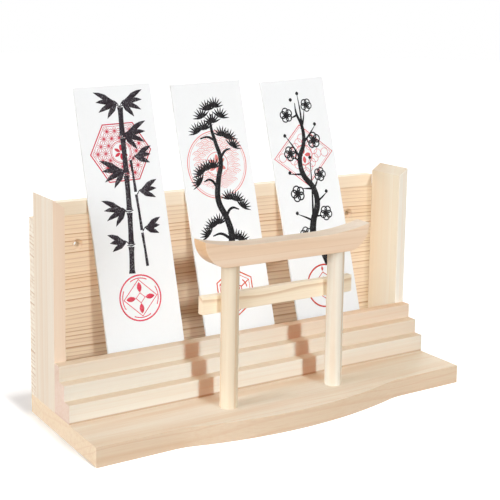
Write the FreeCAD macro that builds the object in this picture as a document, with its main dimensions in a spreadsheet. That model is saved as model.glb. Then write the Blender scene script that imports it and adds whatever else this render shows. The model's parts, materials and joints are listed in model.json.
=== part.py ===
import FreeCAD, Part
import math
import os
import Sketcher

# A small household Shinto shelf: a bowed base board, three stacked steps, two side
# panels, a back board with a rail on top, a miniature torii gate on the base, and
# three loose tablets that stand behind the steps and lean back on the rail.
# Frame: X to the right, +Y to the back, +Z up, millimetres. The origin is the middle
# of the base board's underside, taken over the rectangle behind its bowed front.

SIZES = {
    # base board
    "overall_width": 340.0,
    "base_depth": 121.5,
    "base_thick": 15.0,
    "bow_depth": 14.8,
    "shoulder_half": 108.0,
    "reverse_radius": 60.0,
    # back board and the rail on top of it
    "board_thick": 9.0,
    "board_height": 141.8,
    "rail_height": 10.8,
    "rail_thick": 9.0,
    # screw holes through the back board
    "screw_inset": 36.1,
    "screw_drop": 24.1,
    "screw_hole": 4.5,
    "screw_sink": 9.0,
    "sink_angle": 90.0,
    # side panels, with a top that falls towards the inside
    "panel_thick": 9.2,
    "panel_depth": 38.7,
    "panel_height": 162.5,
    "panel_bevel": 6.4,
    # steps
    "lower_thick": 14.6,
    "middle_thick": 12.1,
    "upper_thick": 12.1,
    "lower_tread": 9.0,
    "middle_tread": 9.3,
    "upper_tread": 8.7,
    "edge_round": 0.7,
    # torii posts
    "post_spacing": 100.0,
    "post_setback": 20.0,
    "post_dia": 14.0,
    "post_height": 111.5,
    "socket_depth": 4.0,
    "socket_play": 0.1,
    # torii lintel
    "lintel_length": 154.0,
    "lintel_depth": 17.0,
    "lintel_height": 15.5,
    "lintel_rise": 6.0,
    "lintel_flat": 60.0,
    # torii tie beam, let into the backs of the posts
    "tie_length": 142.0,
    "tie_height": 14.0,
    "tie_thick": 6.0,
    "tie_level": 73.5,
    "notch_depth": 1.5,
    "notch_play": 0.1,
    # tablets
    "tablet_width": 67.5,
    "tablet_height": 245.0,
    "tablet_thick": 2.0,
    "tablet_gap": 0.3,
    "left_place": -86.9,
    "middle_place": 1.8,
    "right_place": 94.9,
    "left_tilt": 1.9,
    "middle_tilt": 2.4,
    "right_tilt": 3.4,
}

doc = FreeCAD.newDocument("kamidana")
V = FreeCAD.Vector


# Spreadsheet and small helpers

def make_sheet():
    sheet = doc.addObject("Spreadsheet::Sheet", "size")
    sheet.Label = "size"
    for row, (name, value) in enumerate(SIZES.items(), start=1):
        sheet.set(f"A{row}", name)
        sheet.set(f"B{row}", str(value))
        sheet.setAlias(f"B{row}", name)
    doc.recompute()
    return sheet


def new_body(label):
    body = doc.addObject("PartDesign::Body", label)
    body.Label = label
    return body


def place(body, x="0", y="0", z="0"):
    """Bind a body's position to the sheet."""
    for axis, formula in (("x", x), ("y", y), ("z", z)):
        body.setExpression(f".Placement.Base.{axis}", formula)


def new_sketch(body, name, role):
    sketch = body.newObject("Sketcher::SketchObject", name)
    plane = next(item for item in body.Origin.OriginFeatures if item.Role == role)
    sketch.AttachmentSupport = [(plane, "")]
    sketch.MapMode = "FlatFace"
    return sketch


def dimension(sketch, name, kind, *where, formula, start):
    """Add a named dimension to a sketch and bind it to the sheet."""
    index = sketch.addConstraint(Sketcher.Constraint(kind, *where, start))
    sketch.renameConstraint(index, name)
    sketch.setExpression(f"Constraints.{name}", formula)


def tie(sketch, *constraints):
    for constraint in constraints:
        sketch.addConstraint(Sketcher.Constraint(*constraint))


def line(sketch, start, end):
    return sketch.addGeometry(Part.LineSegment(V(*start, 0), V(*end, 0)), False)


def arc(sketch, centre, radius, start_deg, end_deg):
    circle = Part.Circle(V(*centre, 0), V(0, 0, 1), radius)
    bow = Part.ArcOfCircle(circle, math.radians(start_deg), math.radians(end_deg))
    return sketch.addGeometry(bow, False)


# Names for the ends of a sketch element and for the sketch's own axes
START, END, CENTRE = range(1, 4)
X_AXIS, Y_AXIS = range(-1, -3, -1)
ORIGIN = (X_AXIS, START)


def loop_of_lines(sketch, points):
    """Closed outline of straight lines, each joined to the next."""
    edges = [line(sketch, a, b) for a, b in zip(points, points[1:] + points[:1])]
    for edge, following in zip(edges, edges[1:] + edges[:1]):
        tie(sketch, ("Coincident", edge, END, following, START))
    return edges


def centred_rectangle(sketch, width, height):
    """Rectangle standing on the sketch's X axis, centred on its Y axis."""
    half, tall = SIZES[width] / 2, SIZES[height]
    bottom, right, top, left = loop_of_lines(
        sketch, [(-half, 0), (half, 0), (half, tall), (-half, tall)])
    tie(sketch, ("Symmetric", bottom, START, bottom, END, Y_AXIS),
        ("PointOnObject", bottom, START, X_AXIS),
        ("Vertical", right), ("Vertical", left), ("Horizontal", top))
    dimension(sketch, "width", "DistanceX", bottom, START, bottom, END,
              formula=f"size.{width}", start=half * 2)
    dimension(sketch, "height", "DistanceY", right, START, right, END,
              formula=f"size.{height}", start=tall)


def pad(body, sketch, name, formula, reverse=False, midplane=False):
    feature = body.newObject("PartDesign::Pad", name)
    feature.Profile = sketch
    feature.Reversed = reverse
    feature.Midplane = midplane
    feature.setExpression("Length", formula)
    doc.recompute()
    return feature


# Base board

def base_board():
    body = new_body("base_board")
    half, back = SIZES["overall_width"] / 2, SIZES["base_depth"] / 2
    shoulder, reverse, bow = SIZES["shoulder_half"], SIZES["reverse_radius"], SIZES["bow_depth"]
    swing = (shoulder ** 2 + bow ** 2) / (2 * bow)
    turn = math.degrees(math.atan2(swing - bow, -shoulder))
    sketch = new_sketch(body, "base_outline", "XY_Plane")
    rear = line(sketch, (-half, back), (half, back))
    right = line(sketch, (half, back), (half, -back))
    right_front = line(sketch, (half, -back), (shoulder, -back))
    right_turn = arc(sketch, (shoulder, -back - reverse), reverse, 90, turn)
    front = arc(sketch, (0, -back - bow + swing - reverse), swing - reverse, 360 - turn, 180 + turn)
    left_turn = arc(sketch, (-shoulder, -back - reverse), reverse, 180 - turn, 90)
    left_front = line(sketch, (-shoulder, -back), (-half, -back))
    left = line(sketch, (-half, -back), (-half, back))
    tie(sketch, ("Symmetric", rear, START, rear, END, Y_AXIS),
        ("Coincident", rear, END, right, START), ("Coincident", right, END, right_front, START),
        ("Tangent", right_front, END, right_turn, START), ("Tangent", right_turn, END, front, END),
        ("Tangent", front, START, left_turn, START), ("Tangent", left_turn, END, left_front, START),
        ("Coincident", left_front, END, left, START), ("Coincident", left, END, rear, START),
        ("Vertical", right), ("Vertical", left), ("Horizontal", right_front), ("Horizontal", left_front),
        ("Equal", right_turn, left_turn))
    dimension(sketch, "width", "DistanceX", rear, START, rear, END,
              formula="size.overall_width", start=half * 2)
    dimension(sketch, "back", "DistanceY", *ORIGIN, rear, END, formula="size.base_depth / 2", start=back)
    dimension(sketch, "depth", "DistanceY", right, END, right, START,
              formula="size.base_depth", start=back * 2)
    dimension(sketch, "right_shoulder", "DistanceX", *ORIGIN, right_front, END,
              formula="size.shoulder_half", start=shoulder)
    dimension(sketch, "left_shoulder", "DistanceX", left_front, START, *ORIGIN,
              formula="size.shoulder_half", start=shoulder)
    dimension(sketch, "reverse", "Radius", right_turn, formula="size.reverse_radius", start=reverse)
    whole_swing = "(size.shoulder_half ^ 2 + size.bow_depth ^ 2) / (2 * size.bow_depth)"
    dimension(sketch, "bow", "Radius", front,
              formula=f"{whole_swing} - size.reverse_radius", start=swing - reverse)
    pad(body, sketch, "base_slab", "size.base_thick")
    post_sockets(body)
    return body


def post_sockets(body):
    """Blind round sockets in the base board's top for the feet of the posts."""
    sketch = new_sketch(body, "socket_circles", "XY_Plane")
    sketch.setExpression(".AttachmentOffset.Base.z", "size.base_thick")
    radius = SIZES["post_dia"] / 2 + SIZES["socket_play"]
    spread, forward = SIZES["post_spacing"] / 2, SIZES["base_depth"] / 2 - SIZES["post_setback"]
    circles = [sketch.addGeometry(Part.Circle(V(x, -forward, 0), V(0, 0, 1), radius), False)
               for x in (-spread, spread)]
    left, right = circles
    tie(sketch, ("Symmetric", left, CENTRE, right, CENTRE, Y_AXIS), ("Equal", left, right))
    dimension(sketch, "spacing", "DistanceX", left, CENTRE, right, CENTRE,
              formula="size.post_spacing", start=spread * 2)
    dimension(sketch, "forward", "DistanceY", right, CENTRE, *ORIGIN,
              formula="size.base_depth / 2 - size.post_setback", start=forward)
    dimension(sketch, "socket", "Radius", right,
              formula="size.post_dia / 2 + size.socket_play", start=radius)
    pocket = body.newObject("PartDesign::Pocket", "post_sockets")
    pocket.Profile = sketch
    pocket.setExpression("Length", "size.socket_depth")
    doc.recompute()


# Back board and rail

BOARD_FRONT = "size.base_depth / 2 - size.board_thick"


def back_board():
    body = new_body("back_board")
    sketch = new_sketch(body, "board_outline", "XZ_Plane")
    centred_rectangle(sketch, "overall_width", "board_height")
    pad(body, sketch, "board_slab", "size.board_thick", reverse=True)
    holes = new_sketch(body, "screw_points", "XZ_Plane")
    spread = SIZES["overall_width"] / 2 - SIZES["screw_inset"]
    level, radius = SIZES["board_height"] - SIZES["screw_drop"], SIZES["screw_hole"] / 2
    left, right = [holes.addGeometry(Part.Circle(V(x, level, 0), V(0, 0, 1), radius), False)
                   for x in (-spread, spread)]
    tie(holes, ("Symmetric", left, CENTRE, right, CENTRE, Y_AXIS), ("Equal", left, right))
    dimension(holes, "spacing", "DistanceX", left, CENTRE, right, CENTRE,
              formula="size.overall_width - 2 * size.screw_inset", start=spread * 2)
    dimension(holes, "level", "DistanceY", *ORIGIN, right, CENTRE,
              formula="size.board_height - size.screw_drop", start=level)
    dimension(holes, "hole", "Diameter", right, formula="size.screw_hole", start=radius * 2)
    doc.recompute()
    drill = body.newObject("PartDesign::Hole", "screw_holes")
    drill.Profile = holes
    drill.ThreadType = "None"
    drill.DepthType = "ThroughAll"
    drill.HoleCutType = "Countersink"
    drill.HoleCutCustomValues = True
    drill.setExpression("Diameter", "size.screw_hole")
    drill.setExpression("HoleCutDiameter", "size.screw_sink")
    drill.setExpression("HoleCutCountersinkAngle", "size.sink_angle")
    doc.recompute()
    place(body, y=BOARD_FRONT, z="size.base_thick")
    return body


def back_rail():
    body = new_body("back_rail")
    sketch = new_sketch(body, "rail_section", "YZ_Plane")
    deep, tall = SIZES["rail_thick"], SIZES["rail_height"]
    bottom, back, top, front = loop_of_lines(sketch, [(0, 0), (deep, 0), (deep, tall), (0, tall)])
    tie(sketch, ("Coincident", bottom, START, *ORIGIN),
        ("Horizontal", bottom), ("Vertical", back), ("Horizontal", top), ("Vertical", front))
    dimension(sketch, "deep", "DistanceX", bottom, START, bottom, END, formula="size.rail_thick", start=deep)
    dimension(sketch, "tall", "DistanceY", back, START, back, END, formula="size.rail_height", start=tall)
    pad(body, sketch, "rail_strip", "size.overall_width - 2 * size.panel_thick", midplane=True)
    place(body, y=BOARD_FRONT, z="size.base_thick + size.board_height")
    return body


# Side panels

def side_panel(label, side):
    """Upright panel whose top falls towards the inside; the right one is the left one turned round."""
    body = new_body(label)
    sketch = new_sketch(body, "panel_outline", "XZ_Plane")
    thick, tall, bevel = SIZES["panel_thick"], SIZES["panel_height"], SIZES["panel_bevel"]
    bottom, inner, top, outer = loop_of_lines(
        sketch, [(0, 0), (thick, 0), (thick, tall - bevel), (0, tall)])
    tie(sketch, ("Coincident", bottom, START, *ORIGIN),
        ("Horizontal", bottom), ("Vertical", inner), ("Vertical", outer))
    dimension(sketch, "thick", "DistanceX", bottom, START, bottom, END,
              formula="size.panel_thick", start=thick)
    dimension(sketch, "tall", "DistanceY", outer, END, outer, START, formula="size.panel_height", start=tall)
    dimension(sketch, "inner_tall", "DistanceY", inner, START, inner, END,
              formula="size.panel_height - size.panel_bevel", start=tall - bevel)
    pad(body, sketch, "panel_slab", "size.panel_depth")
    if side < 0:
        place(body, x="-size.overall_width / 2", y=BOARD_FRONT, z="size.base_thick")
    else:
        body.Placement.Rotation = FreeCAD.Rotation(V(0, 0, 1), 180)
        place(body, x="size.overall_width / 2", y=f"{BOARD_FRONT} - size.panel_depth", z="size.base_thick")
    return body


# Steps

STEP_BACK = f"{BOARD_FRONT} - size.panel_depth"


def step(label, thick, treads, below):
    """Full-width step board whose back meets the side panels; its front top edge is eased."""
    body = new_body(label)
    deep, tall, easing = sum(SIZES[name] for name in treads), SIZES[thick], SIZES["edge_round"]
    depth = " + ".join(f"size.{name}" for name in treads)
    sketch = new_sketch(body, f"{label}_section", "YZ_Plane")
    bottom, back, top, rounding, front = (
        line(sketch, (-deep, 0), (0, 0)),
        line(sketch, (0, 0), (0, tall)),
        line(sketch, (0, tall), (easing - deep, tall)),
        arc(sketch, (easing - deep, tall - easing), easing, 90, 180),
        line(sketch, (-deep, tall - easing), (-deep, 0)))
    tie(sketch, ("Coincident", bottom, END, *ORIGIN),
        ("Coincident", bottom, END, back, START), ("Coincident", back, END, top, START),
        ("Tangent", top, END, rounding, START), ("Tangent", rounding, END, front, START),
        ("Coincident", front, END, bottom, START),
        ("Horizontal", bottom), ("Vertical", back), ("Horizontal", top), ("Vertical", front))
    dimension(sketch, "deep", "DistanceX", bottom, START, bottom, END, formula=depth, start=deep)
    dimension(sketch, "tall", "DistanceY", back, START, back, END, formula=f"size.{thick}", start=tall)
    dimension(sketch, "easing", "Radius", rounding, formula="size.edge_round", start=easing)
    pad(body, sketch, f"{label}_board", "size.overall_width", midplane=True)
    place(body, y=STEP_BACK, z=" + ".join(f"size.{name}" for name in ["base_thick"] + below))
    return body


# Torii

POST_LINE = "size.post_setback - size.base_depth / 2"


def torii_post(label, side):
    """Round post that stands in its socket, with a shallow notch at the back for the tie beam."""
    body = new_body(label)
    radius = SIZES["post_dia"] / 2
    sketch = new_sketch(body, "post_circle", "XY_Plane")
    circle = sketch.addGeometry(Part.Circle(V(0, 0, 0), V(0, 0, 1), radius), False)
    tie(sketch, ("Coincident", circle, CENTRE, *ORIGIN))
    dimension(sketch, "round", "Diameter", circle, formula="size.post_dia", start=radius * 2)
    pad(body, sketch, "post_rod", "size.post_height + size.socket_depth")
    tie_beam_notch(body)
    sign = "-" if side < 0 else ""
    place(body, x=f"{sign}size.post_spacing / 2", y=POST_LINE, z="size.base_thick - size.socket_depth")
    return body


def tie_beam_notch(body):
    radius, bite = SIZES["post_dia"] / 2, SIZES["notch_depth"]
    low = SIZES["socket_depth"] + SIZES["tie_level"] - SIZES["notch_play"]
    tall = SIZES["tie_height"] + 2 * SIZES["notch_play"]
    sketch = new_sketch(body, "notch_outline", "YZ_Plane")
    inside, outside = radius - bite, radius + bite
    bottom, back, top, front = loop_of_lines(
        sketch, [(inside, low), (outside, low), (outside, low + tall), (inside, low + tall)])
    tie(sketch, ("Horizontal", bottom), ("Vertical", back), ("Horizontal", top), ("Vertical", front))
    dimension(sketch, "inside", "DistanceX", *ORIGIN, bottom, START,
              formula="size.post_dia / 2 - size.notch_depth", start=inside)
    dimension(sketch, "across", "DistanceX", bottom, START, bottom, END,
              formula="2 * size.notch_depth", start=2 * bite)
    dimension(sketch, "low", "DistanceY", *ORIGIN, bottom, START,
              formula="size.socket_depth + size.tie_level - size.notch_play", start=low)
    dimension(sketch, "tall", "DistanceY", back, START, back, END,
              formula="size.tie_height + 2 * size.notch_play", start=tall)
    pocket = body.newObject("PartDesign::Pocket", "tie_notch")
    pocket.Profile = sketch
    pocket.Midplane = True
    pocket.setExpression("Length", "size.post_dia")
    doc.recompute()


def torii_lintel():
    """Top beam: flat below, quarter-round ends, and a top that sweeps up to its tips."""
    body = new_body("torii_lintel")
    half, flat = SIZES["lintel_length"] / 2, SIZES["lintel_flat"] / 2
    middle, rise = SIZES["lintel_height"], SIZES["lintel_rise"]
    tip = middle + rise
    sweep = ((half - flat) ** 2 + rise ** 2) / (2 * rise)
    lift = math.degrees(math.atan2(rise - sweep, half - flat))
    sketch = new_sketch(body, "lintel_outline", "XZ_Plane")
    foot = line(sketch, (tip - half, 0), (half - tip, 0))
    right_end = arc(sketch, (half - tip, tip), tip, 270, 360)
    right_sweep = arc(sketch, (flat, middle + sweep), sweep, 270, 360 + lift)
    crown = line(sketch, (flat, middle), (-flat, middle))
    left_sweep = arc(sketch, (-flat, middle + sweep), sweep, 180 - lift, 270)
    left_end = arc(sketch, (tip - half, tip), tip, 180, 270)
    tie(sketch, ("Symmetric", foot, START, foot, END, Y_AXIS), ("PointOnObject", foot, END, X_AXIS),
        ("Tangent", foot, END, right_end, START), ("Horizontal", right_end, CENTRE, right_end, END),
        ("Coincident", right_end, END, right_sweep, END), ("Tangent", right_sweep, START, crown, START),
        ("Symmetric", crown, START, crown, END, Y_AXIS), ("Tangent", crown, END, left_sweep, END),
        ("Coincident", left_sweep, START, left_end, START),
        ("Horizontal", left_end, CENTRE, left_end, START), ("Tangent", left_end, END, foot, START),
        ("Equal", right_end, left_end))
    dimension(sketch, "end_round", "Radius", right_end,
              formula="size.lintel_height + size.lintel_rise", start=tip)
    dimension(sketch, "half_length", "DistanceX", *ORIGIN, right_end, END,
              formula="size.lintel_length / 2", start=half)
    dimension(sketch, "middle", "DistanceY", *ORIGIN, crown, START,
              formula="size.lintel_height", start=middle)
    dimension(sketch, "flat", "DistanceX", crown, END, crown, START,
              formula="size.lintel_flat", start=flat * 2)
    pad(body, sketch, "lintel_beam", "size.lintel_depth", midplane=True)
    place(body, y=POST_LINE, z="size.base_thick + size.post_height")
    return body


def torii_tie_beam():
    body = new_body("torii_tie_beam")
    sketch = new_sketch(body, "tie_outline", "XZ_Plane")
    centred_rectangle(sketch, "tie_length", "tie_height")
    pad(body, sketch, "tie_strip", "size.tie_thick", reverse=True)
    place(body, y=f"{POST_LINE} + size.post_dia / 2 - size.notch_depth",
          z="size.base_thick + size.tie_level")
    return body


# Tablets

def tablet(label, across, tilt):
    """Flat tablet that stands on the base behind the steps and leans back on the rail.

    It rests on its lower left corner, tilted sideways by its own small angle.
    """
    body = new_body(label)
    sketch = new_sketch(body, "tablet_outline", "XZ_Plane")
    centred_rectangle(sketch, "tablet_width", "tablet_height")
    pad(body, sketch, "tablet_sheet", "size.tablet_thick", reverse=True)
    run = "(size.panel_depth - 2 * size.tablet_gap - size.tablet_thick)"
    climb = "(size.board_height + size.rail_height - size.tablet_gap)"
    lean = f"atan({run} / {climb})"
    corner_drop = f"size.tablet_width / 2 * sin(size.{tilt} * 1deg)"
    forward = f"{STEP_BACK} + size.tablet_gap + {corner_drop} * sin({lean})"
    upward = (f"size.base_thick + size.tablet_gap + size.tablet_thick * sin({lean})"
              f" + {corner_drop} * cos({lean})")
    body.setExpression("Placement", (
        f"placement(vector(size.{across}; {forward}; {upward});"
        f" rotation(vector(1; 0; 0); -{lean}) * rotation(vector(0; 1; 0); -size.{tilt}))"))
    return body


# Build everything, check it and write one file for each piece

sheet = make_sheet()
pieces = [
    base_board(),
    step("step_lower", "lower_thick", ["lower_tread", "middle_tread", "upper_tread"], []),
    step("step_middle", "middle_thick", ["middle_tread", "upper_tread"], ["lower_thick"]),
    step("step_upper", "upper_thick", ["upper_tread"], ["lower_thick", "middle_thick"]),
    side_panel("side_panel_left", -1),
    side_panel("side_panel_right", 1),
    back_board(),
    back_rail(),
    torii_post("torii_post_left", -1),
    torii_post("torii_post_right", 1),
    torii_lintel(),
    torii_tie_beam(),
    tablet("tablet_left", "left_place", "left_tilt"),
    tablet("tablet_middle", "middle_place", "middle_tilt"),
    tablet("tablet_right", "right_place", "right_tilt"),
]
doc.recompute()

for item in doc.Objects:
    if any(word in item.State for word in ("Invalid", "Error")):
        raise RuntimeError(f"{item.Name} did not build: {item.State}")
for piece in pieces:
    if piece.Shape.isNull() or not piece.Shape.isValid():
        raise RuntimeError(f"{piece.Label} has no valid shape")

os.makedirs("parts", exist_ok=True)
for piece in pieces:
    piece.Shape.exportStep(os.path.join("parts", f"{piece.Label}.step"))
    box = piece.Shape.BoundBox
    print(f"{piece.Label}: X {box.XMin:.2f} to {box.XMax:.2f}, Y {box.YMin:.2f} to {box.YMax:.2f}, "
          f"Z {box.ZMin:.2f} to {box.ZMax:.2f}, volume {piece.Shape.Volume:.0f} mm3")
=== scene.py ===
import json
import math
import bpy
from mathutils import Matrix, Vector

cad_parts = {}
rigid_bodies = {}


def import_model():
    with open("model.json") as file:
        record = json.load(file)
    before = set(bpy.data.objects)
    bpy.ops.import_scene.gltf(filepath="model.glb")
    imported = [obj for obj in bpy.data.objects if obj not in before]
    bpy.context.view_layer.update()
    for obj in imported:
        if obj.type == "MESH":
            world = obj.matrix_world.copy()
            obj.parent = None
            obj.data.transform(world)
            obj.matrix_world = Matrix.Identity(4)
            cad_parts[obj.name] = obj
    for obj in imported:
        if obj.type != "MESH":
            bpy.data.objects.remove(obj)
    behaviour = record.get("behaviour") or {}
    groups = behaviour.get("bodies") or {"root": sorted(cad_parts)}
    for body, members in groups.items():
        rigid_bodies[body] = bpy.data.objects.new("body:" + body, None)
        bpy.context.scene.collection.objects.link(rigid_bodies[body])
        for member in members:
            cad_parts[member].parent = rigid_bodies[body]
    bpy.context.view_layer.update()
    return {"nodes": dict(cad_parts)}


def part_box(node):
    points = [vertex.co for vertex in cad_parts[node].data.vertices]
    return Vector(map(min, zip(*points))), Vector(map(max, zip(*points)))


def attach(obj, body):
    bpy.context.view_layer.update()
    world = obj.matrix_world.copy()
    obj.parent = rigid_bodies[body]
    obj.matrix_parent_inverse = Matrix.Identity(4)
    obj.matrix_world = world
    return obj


bl_info = {
    "name": "Altar Shelf",
    "version": (1, 0, 0),
    "blender": (4, 5, 0),
    "location": "3D View > Sidebar > Shelf",
    "description": "Finishes a wooden altar shelf with its small gate and three painted tablets",
    "category": "Object",
}

from functools import partial

import bmesh
import bpy
from bpy.props import FloatProperty, FloatVectorProperty, IntProperty, PointerProperty
from mathutils import Matrix, Vector

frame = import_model()
NODES = frame["nodes"]
MM = 0.001

SOFT_ANGLE = math.radians(32)  # faces that meet at less than this are one curve
MERGE_GAP = 0.002 * MM  # corners nearer than this are one
UPRIGHT = (0, math.radians(-90), 0)  # turn of the pith in a piece whose grain stands upright

# Wood: shares of the early or the late wood's colour
WARM_TONE = (0.985, 0.93, 0.86)
VEIN_TONE = (0.90, 0.77, 0.66)
END_TONE = (1.05, 1.1, 1.2)
# Dark seam line at the lowest step's foot, where it meets the base: partly a real seam, partly
# painted shade in the crease
SEAM_AND_SHADE_TONE = (0.8, 0.8, 0.8)
SEAM_AND_SHADE_HEIGHT = (0.9 * MM, 1.9 * MM)  # where the dark line at a step's foot starts and stops to fade
# The noises of wood: scale along and across the grain, detail, roughness
WOOD_NOISES = {
    "cloud": ((5.0, 55.0, 55.0), 2.0, 0.5),
    "hairs": ((12.0, 820.0, 820.0), 3.0, 0.6),
    "pores": ((110.0, 2600.0, 2600.0), 1.0, 0.5),
    "cut": ((20.0, 420.0, 420.0), 3.0, 0.6),
    "vein": ((2.6, 62.0, 62.0), 3.0, 0.45),
}

# Prints: how high and how dry each kind is, as shares of the print height and of the colour
PRINT_LEVEL = {"ink": 1.6, "crest": 0.7, "seal": 0.8}
PRINT_DRYNESS = {"ink": 0.25, "crest": 0.5, "seal": 0.6}
SOFT_INK_DRYNESS = 0.7
PAPER_LEVEL = 0.9
DRY_LIFT = 0.35  # how far the driest places go towards the paper's level
INK_LAYER = 0.0008 * MM  # each stroke lies this much above the one before it
LATTICE_LAYER = 0.00001 * MM  # and each motif of a lattice this much
INK_DEPTH = -0.02 * MM  # the prints' undersides, inside the paper
FAN_SPREAD = 140  # degrees between the outer needles of a pine fan

# Floor: what it throws back on the shelf, and what the camera sees
FLOOR_BOUNCE = ((0.43, 0.31, 0.21), (0.45, 0.33, 0.23))
FLOOR_SEEN = (0.9, 0.9, 0.9)
FLOOR_RADIUS = 6
FLOOR_GAP = 0.2 * MM

# Light
LAMP_DISTANCE = 2
LAMP_AIM = Vector((0, 0, 0.1))
PLAIN = (1, 1, 1)
KEY_TINT = (0.93, 1.0, 1.06)
BOARD_TINT = (1.0, 1.49, 1.74)
BACK_TINT = (1.15, 1.25, 1.30)
WARM_TINT = (1.0, 0.06, 0.0)
SIDE_TINT = (0.95, 1.0, 1.07)
STEP_TOP_TINT = (1.08, 0.86, 0.46)
SKY_TINT = (1.0, 0.72, 0.48)
LOW, LEFT, DOWN = (-0.16, 1, -0.365), (1, 0.28, -0.35), (0, 0.15, -1)
# Each lamp's setting and share of it, way of its light, spread in degrees, tint, the pieces it
# reaches, and the pieces that throw its shadow. A minus stands for all pieces but those.
LAMPS = {
    "key_lamp": ("key", 1, LOW, 5, KEY_TINT, "-tablets boards back floor", ""),
    "floor_lamp": ("key", 2.7, (-0.14, 1, -0.34), 11, PLAIN, "floor", "base"),
    "tablet_lamp": ("key", 1, LOW, 5, KEY_TINT, "tablets", "-gate"),
    "step_lamp": ("key", 1, LOW, 5, BOARD_TINT, "boards", ""),
    "back_lamp": ("key", 0.42, (-0.12, 1, -0.365), 7, BACK_TINT, "back", "-tablets"),
    "back_edge_lamp": ("key", 0.55, (0.03, 1, -0.365), 10, BACK_TINT, "back", ""),
    "warm_lamp": ("warm", 1, LOW, 5, WARM_TINT, "boards", "-gate"),
    "back_warm_lamp": ("warm", 0.3, LOW, 5, WARM_TINT, "back", "-tablets gate"),
    "side_lamp": ("side", 1, LEFT, 50, SIDE_TINT, "-boards back panel floor", "-tablets"),
    "panel_side_lamp": ("side", 1, (1, 0.28, -0.25), 16, SIDE_TINT, "panel", "-tablets gate"),
    "board_side_lamp": ("side", 1, (1, 0, -0.35), 30, SIDE_TINT, "boards back", ""),
    "top_lamp": ("top", 1, DOWN, 90, SIDE_TINT, "-boards", ""),
    "step_top_lamp": ("top", 1, DOWN, 90, STEP_TOP_TINT, "boards", ""),
    "rear_lamp": ("rear", 1, (-0.35, -1, -0.12), 60, PLAIN, "-floor", ""),
}


# Settings that a user would change

def colour(name, description, default):
    return FloatVectorProperty(name=name, description=description, subtype="COLOR",
                               min=0, max=1, default=default)


def length(name, description, default, **limits):
    return FloatProperty(name=name, description=description, unit="LENGTH", subtype="DISTANCE",
                         default=default, precision=5, **limits)


def angle(name, description, degrees):
    return FloatProperty(name=name, description=description, subtype="ANGLE",
                         default=math.radians(degrees))


def number(name, description, default, **limits):
    return FloatProperty(name=name, description=description, default=default, **limits)


class BoardSettings(bpy.types.PropertyGroup):
    """Finish of the shelf's flat boards."""

    base_colour: colour("Base board", "Early wood of the base board", (0.797, 0.690, 0.551))
    step_colour: colour("Steps", "Early wood of the steps", (0.771, 0.694, 0.579))
    panel_colour: colour("Left panel", "Early wood of the left side panel", (0.911, 0.84, 0.716))
    # Darker than the left panel's wood: painted shade that offsets the lamp which lights only this
    # panel
    right_panel_shaded_colour: colour("Right panel", "Early wood of the right side panel",
                               (0.706, 0.643, 0.51))
    rail_colour: colour("Rail", "Early wood of the rail on the back board", (0.91, 0.785, 0.612))
    back_colour: colour("Back board", "Early wood of the back board", (0.91, 0.76, 0.57))
    back_line_colour: colour("Back board lines", "Late wood of the back board",
                             (0.47, 0.22, 0.075))
    line_colour: colour("Grain lines", "Late wood of the paler boards", (0.70, 0.48, 0.31))
    edge_round: length("Edge round", "Radius of the eased edges", 0.4 * MM, min=0)
    step_round: length("Step edge round", "Radius of the steps' softer edges", 0.8 * MM, min=0)
    back_ring: length("Back board rings", "Distance between the back board's grain lines",
                      3.3 * MM)


class GateSettings(bpy.types.PropertyGroup):
    """Finish of the small gate."""

    post_colour: colour("Left post", "Early wood of the left post", (0.767, 0.672, 0.52))
    right_post_colour: colour("Right post", "Early wood of the right post", (0.845, 0.82, 0.725))
    lintel_colour: colour("Lintel", "Early wood of the lintel", (0.885, 0.70, 0.53))
    tie_colour: colour("Tie beam", "Early wood of the tie beam", (0.995, 0.875, 0.68))
    streak_colour: colour("Streaks", "Late wood of the gate", (0.66, 0.42, 0.22))


class TabletSettings(bpy.types.PropertyGroup):
    """Paper, ink and seal colours of the tablets."""

    paper_colour: colour("Paper", "Colour of the paper", (0.897, 0.906, 0.90))
    soft_ink_colour: colour("Soft ink", "Brush ink of the left tablet", (0.028, 0.020, 0.026))
    ink_colour: colour("Ink", "Brush ink of the other tablets", (0.009, 0.008, 0.009))
    left_crest_colour: colour("Left crest", "Red of the left crest", (0.62, 0.045, 0.07))
    middle_crest_colour: colour("Middle crest", "Faint red of the middle crest",
                                (0.80, 0.27, 0.24))
    right_crest_colour: colour("Right crest", "Pale red of the right crest", (0.72, 0.13, 0.13))
    left_seal_colour: colour("Left seal", "Red of the left seal", (0.72, 0.06, 0.10))
    middle_seal_colour: colour("Middle seal", "Orange red of the middle seal", (0.68, 0.08, 0.03))
    right_seal_colour: colour("Right seal", "Deep red of the right seal", (0.58, 0.045, 0.026))
    print_height: length("Print height", "How far the prints stand on the paper", 0.05 * MM)
    needles: IntProperty(name="Needles", description="Needles in each pine fan", default=8, min=5)


class StageSettings(bpy.types.PropertyGroup):
    """Camera, lamps and floor."""

    eye: FloatVectorProperty(name="Camera place", description="Where the camera stands",
                             subtype="TRANSLATION", unit="LENGTH",
                             default=(-0.4641, -0.70606, 0.3200))
    heading: angle("Heading", "Camera turned from the shelf's front", 32.88)
    dip: angle("Dip", "Camera looking down", 8.24)
    roll: angle("Roll", "Camera rolled clockwise", 0.93)
    focal: number("Focal length", "In millimetres on a 36 mm sensor", 76.64, min=10)
    rise: number("Shift", "Lens shift up or down", -0.18)
    key: number("Key lamp", "Strength of the low lamps in front", 1.55)
    side: number("Side lamp", "Strength of the wide lamps on the left", 2.65)
    warm: number("Warm fill", "Strength of the red fill on the boards", 0.44)
    top: number("Top lamp", "Strength of the wide lamps above", 1.0)
    rear: number("Rear lamp", "Strength of the wide lamp behind", 2.0)
    sky: number("Room light", "Strength of the even room light", 0.10)
    glow: number("Floor white", "Added brightness of the floor for the camera", 0.38)


GROUPS = {"shelf_boards": BoardSettings, "shelf_gate": GateSettings,
          "shelf_tablets": TabletSettings, "shelf_stage": StageSettings}


# Node helpers

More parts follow.
